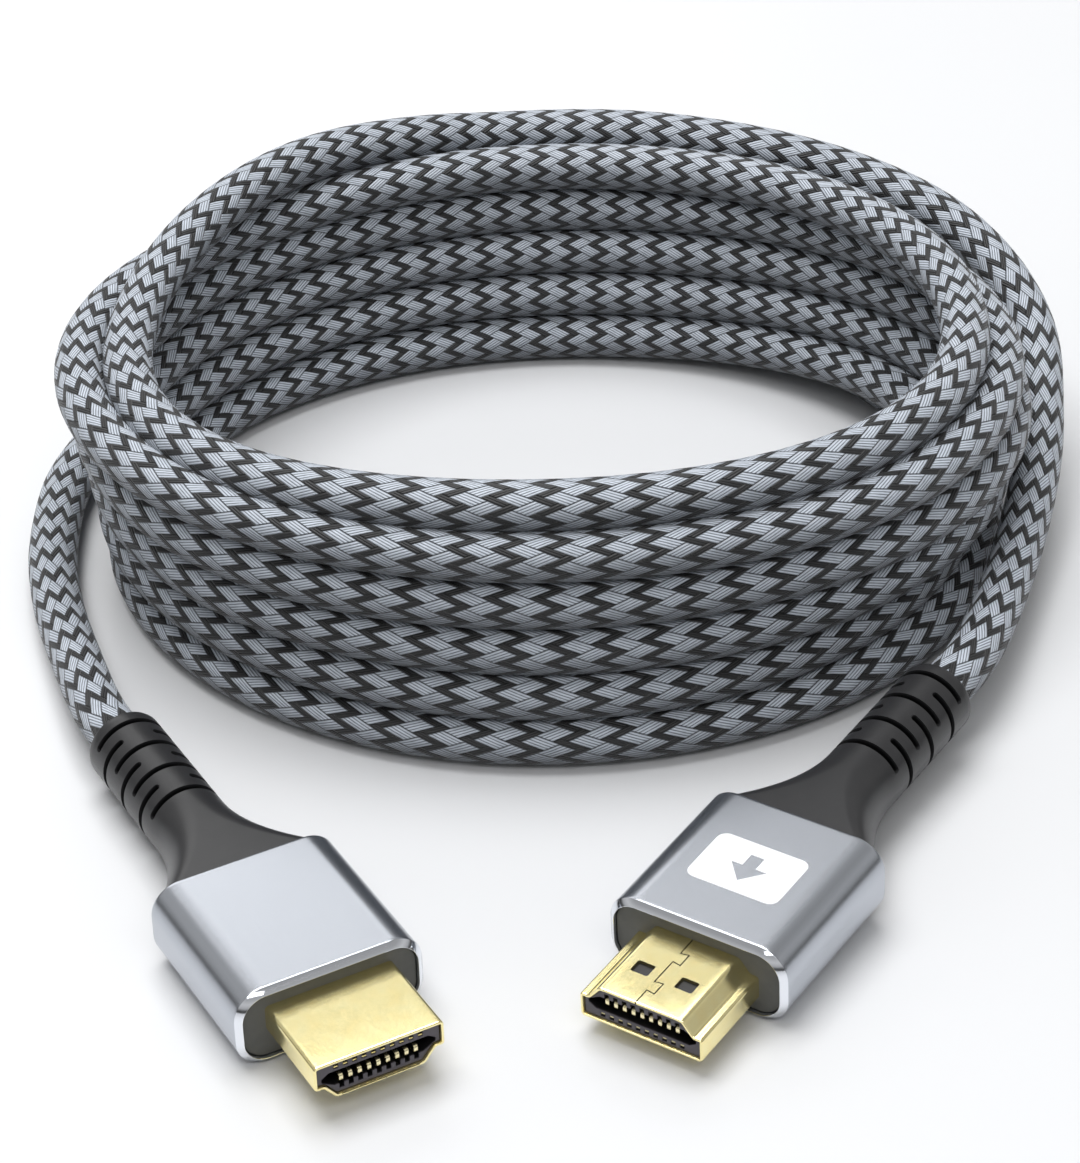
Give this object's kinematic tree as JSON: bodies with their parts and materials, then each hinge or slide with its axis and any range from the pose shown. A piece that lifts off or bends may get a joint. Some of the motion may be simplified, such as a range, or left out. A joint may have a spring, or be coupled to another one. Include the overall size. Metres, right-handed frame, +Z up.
{
  "type": "hdmi cable",
  "caption": "Braided digital video cable lying in a tall oval coil, with a metal-bodied plug, gold shell and slotted strain relief on each end.",
  "frame": {"origin": "On the floor, under the middle of the whole coiled cable.", "axes": "+Z up, +X to the viewer's right, -Y towards the plugs and the viewer."},
  "size_m": [0.1248, 0.1568, 0.0324],
  "materials": {
    "braid": "woven braid of pale grey and black strands",
    "aluminium": "satin anodised with a polished front edge",
    "gold": "bright gold plating",
    "contacts": "pale gold plating",
    "rubber": "satin moulded",
    "insulator": "fine matt"
  },
  "bodies": {
    "root": {"right_housing": "aluminium", "right_face_plate": "insulator", "right_shell": "gold", "right_contact_carrier": "insulator", "right_strain_relief": "rubber", "right_contact_broad_1": "contacts", "right_contact_broad_2": "contacts", "right_contact_broad_3": "contacts", "right_contact_broad_4": "contacts", "right_contact_broad_5": "contacts", "right_contact_broad_6": "contacts", "right_contact_broad_7": "contacts", "right_contact_broad_8": "contacts", "right_contact_broad_9": "contacts", "right_contact_broad_10": "contacts", "right_contact_narrow_1": "contacts", "right_contact_narrow_2": "contacts", "right_contact_narrow_3": "contacts", "right_contact_narrow_4": "contacts", "right_contact_narrow_5": "contacts", "right_contact_narrow_6": "contacts", "right_contact_narrow_7": "contacts", "right_contact_narrow_8": "contacts", "right_contact_narrow_9": "contacts", "left_housing": "aluminium", "left_face_plate": "insulator", "left_shell": "gold", "left_contact_carrier": "insulator", "left_strain_relief": "rubber", "left_contact_broad_1": "contacts", "left_contact_broad_2": "contacts", "left_contact_broad_3": "contacts", "left_contact_broad_4": "contacts", "left_contact_broad_5": "contacts", "left_contact_broad_6": "contacts", "left_contact_broad_7": "contacts", "left_contact_broad_8": "contacts", "left_contact_broad_9": "contacts", "left_contact_broad_10": "contacts", "left_contact_narrow_1": "contacts", "left_contact_narrow_2": "contacts", "left_contact_narrow_3": "contacts", "left_contact_narrow_4": "contacts", "left_contact_narrow_5": "contacts", "left_contact_narrow_6": "contacts", "left_contact_narrow_7": "contacts", "left_contact_narrow_8": "contacts", "left_contact_narrow_9": "contacts", "coil": "braid", "lead_right": "braid", "lead_left": "braid"}
  },
  "joints": []
}
